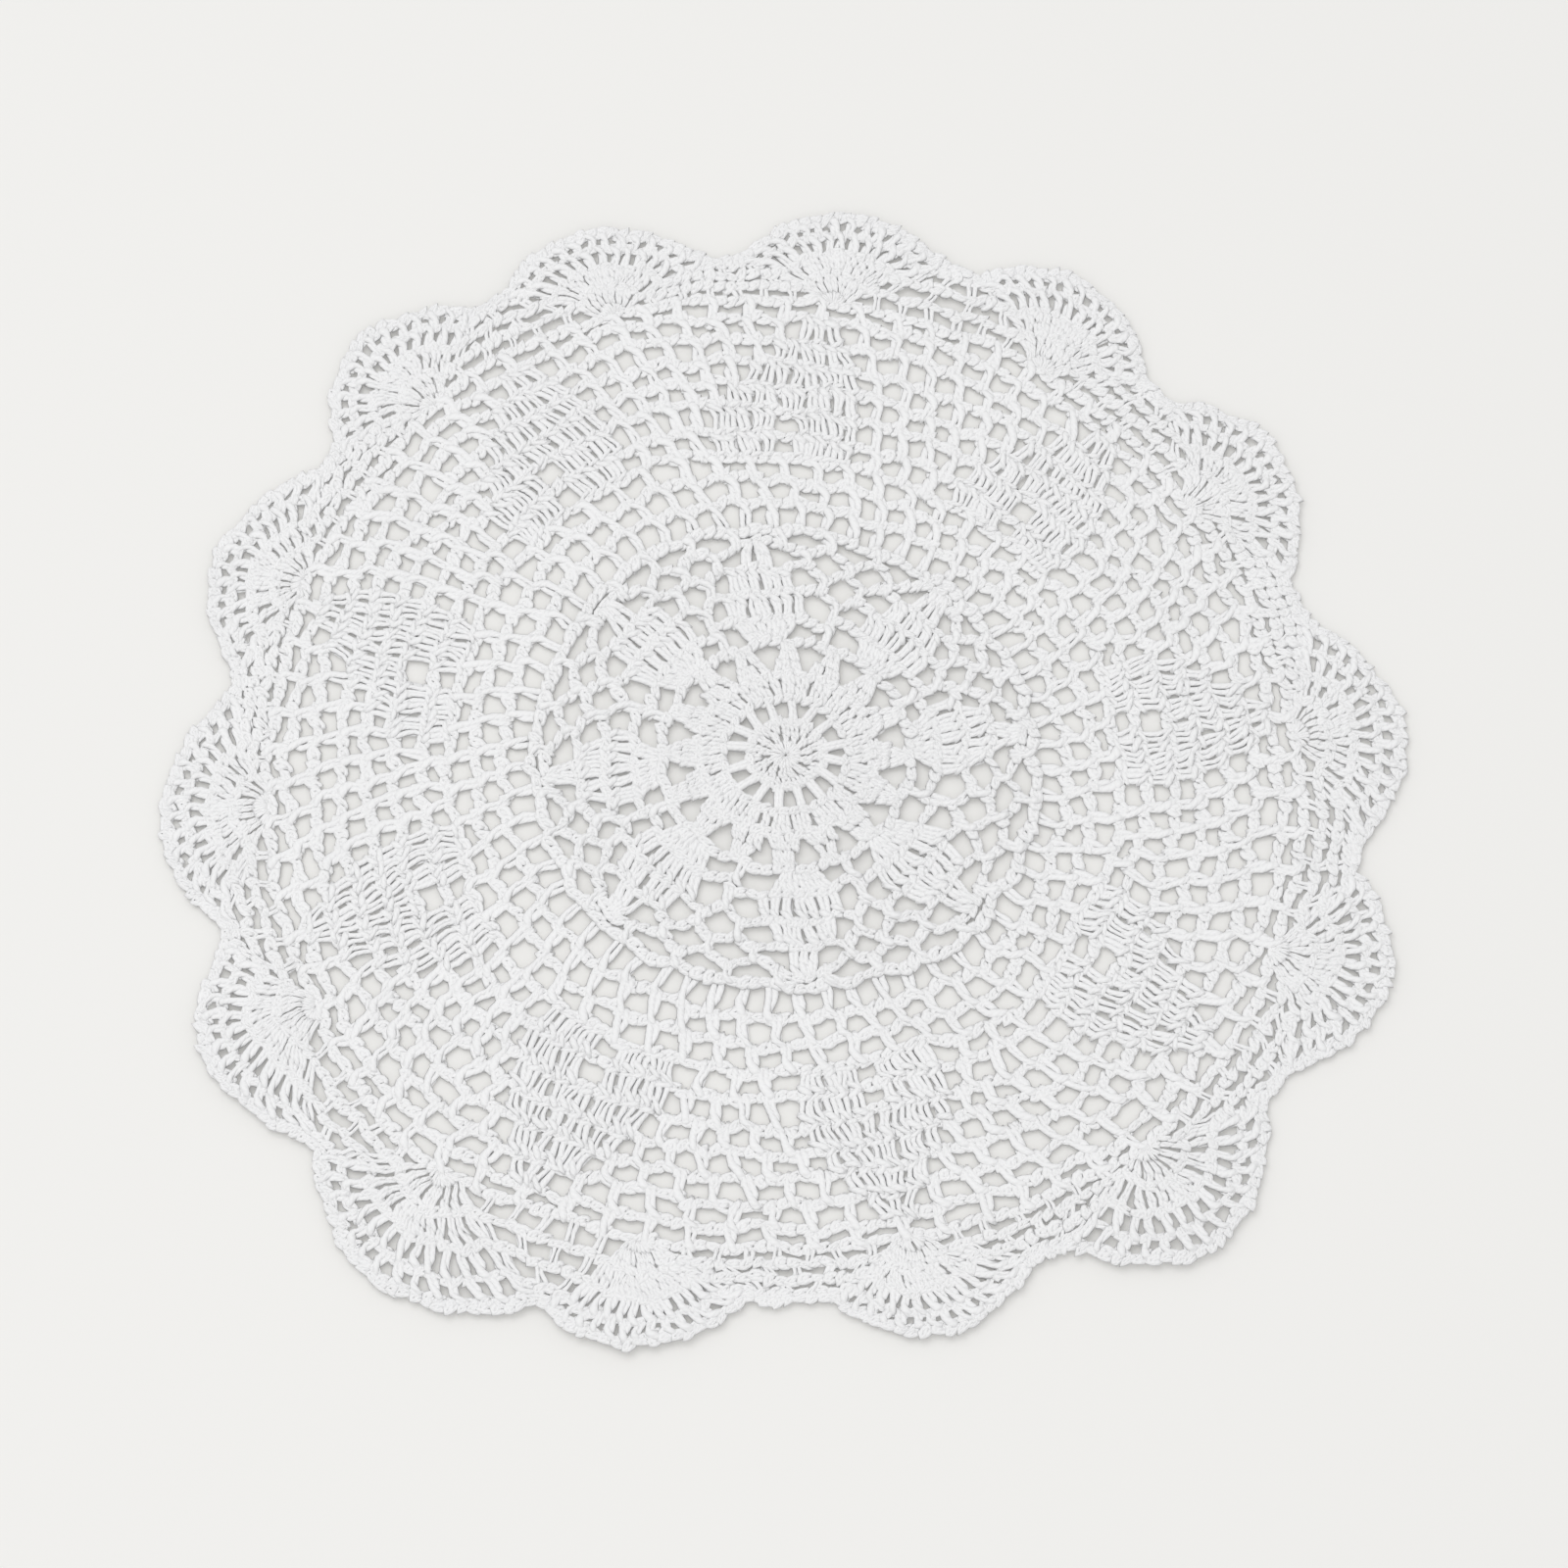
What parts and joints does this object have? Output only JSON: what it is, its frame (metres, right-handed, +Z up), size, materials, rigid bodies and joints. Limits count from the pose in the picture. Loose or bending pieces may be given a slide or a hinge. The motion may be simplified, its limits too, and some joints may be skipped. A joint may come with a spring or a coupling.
{
  "type": "lace doily",
  "caption": "Round openwork crochet doily in white cotton, with a leaf rosette, square net with solid tulips and a scalloped border, lying flat.",
  "frame": {"origin": "centre of the crochet, on the underside that rests on the table", "axes": "+Z up through the cloth, +Y towards the top of the cloth as it lies seen from above, +X to its right"},
  "size_m": [0.2994, 0.298, 0.0022],
  "materials": {
    "cotton": "matte mercerised cotton yarn"
  },
  "bodies": {
    "root": {"doily": "cotton"}
  },
  "joints": []
}
